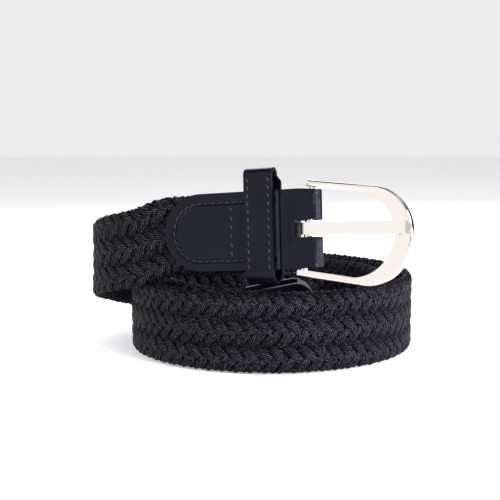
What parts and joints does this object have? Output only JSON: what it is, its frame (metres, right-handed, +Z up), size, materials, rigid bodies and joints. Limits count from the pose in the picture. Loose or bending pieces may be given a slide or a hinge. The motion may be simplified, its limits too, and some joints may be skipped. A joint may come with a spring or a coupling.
{
  "type": "belt",
  "caption": "Braided elastic waist belt, loosely coiled on its edge, with leather ends, a loose leather keeper and a horseshoe buckle with a prong.",
  "frame": {"origin": "middle of the belt's bounding box at the surface it stands on", "axes": "+Z up, across the coiled strap's width; -Y towards the side where the buckle end lies on the coil; +X towards the buckle's bow"},
  "size_m": [0.15, 0.148, 0.0855],
  "materials": {
    "braid": "dark navy braided elastic cords",
    "leather": "dark navy smooth leather, stitched along its edges",
    "buckle_metal": "polished nickel"
  },
  "bodies": {
    "belt": {"braided_strap": "braid", "buckle_tab": "leather", "keeper_loop": "leather", "tip_tab": "leather"},
    "buckle": {"buckle_frame": "buckle_metal"},
    "prong": {"prong": "buckle_metal"}
  },
  "joints": [
    {"name": "buckle_swing", "type": "hinge", "parent": "belt", "child": "buckle", "pos_m": [0.02466, -0.05143, 0.06065], "axis": [-0.1093, -0.0775, -0.991], "range_deg": [-15, 30]},
    {"name": "prong_pivot", "type": "hinge", "parent": "buckle", "child": "prong", "pos_m": [0.02466, -0.05143, 0.06065], "axis": [-0.1093, -0.0775, -0.991], "range_deg": [0, 60]}
  ]
}
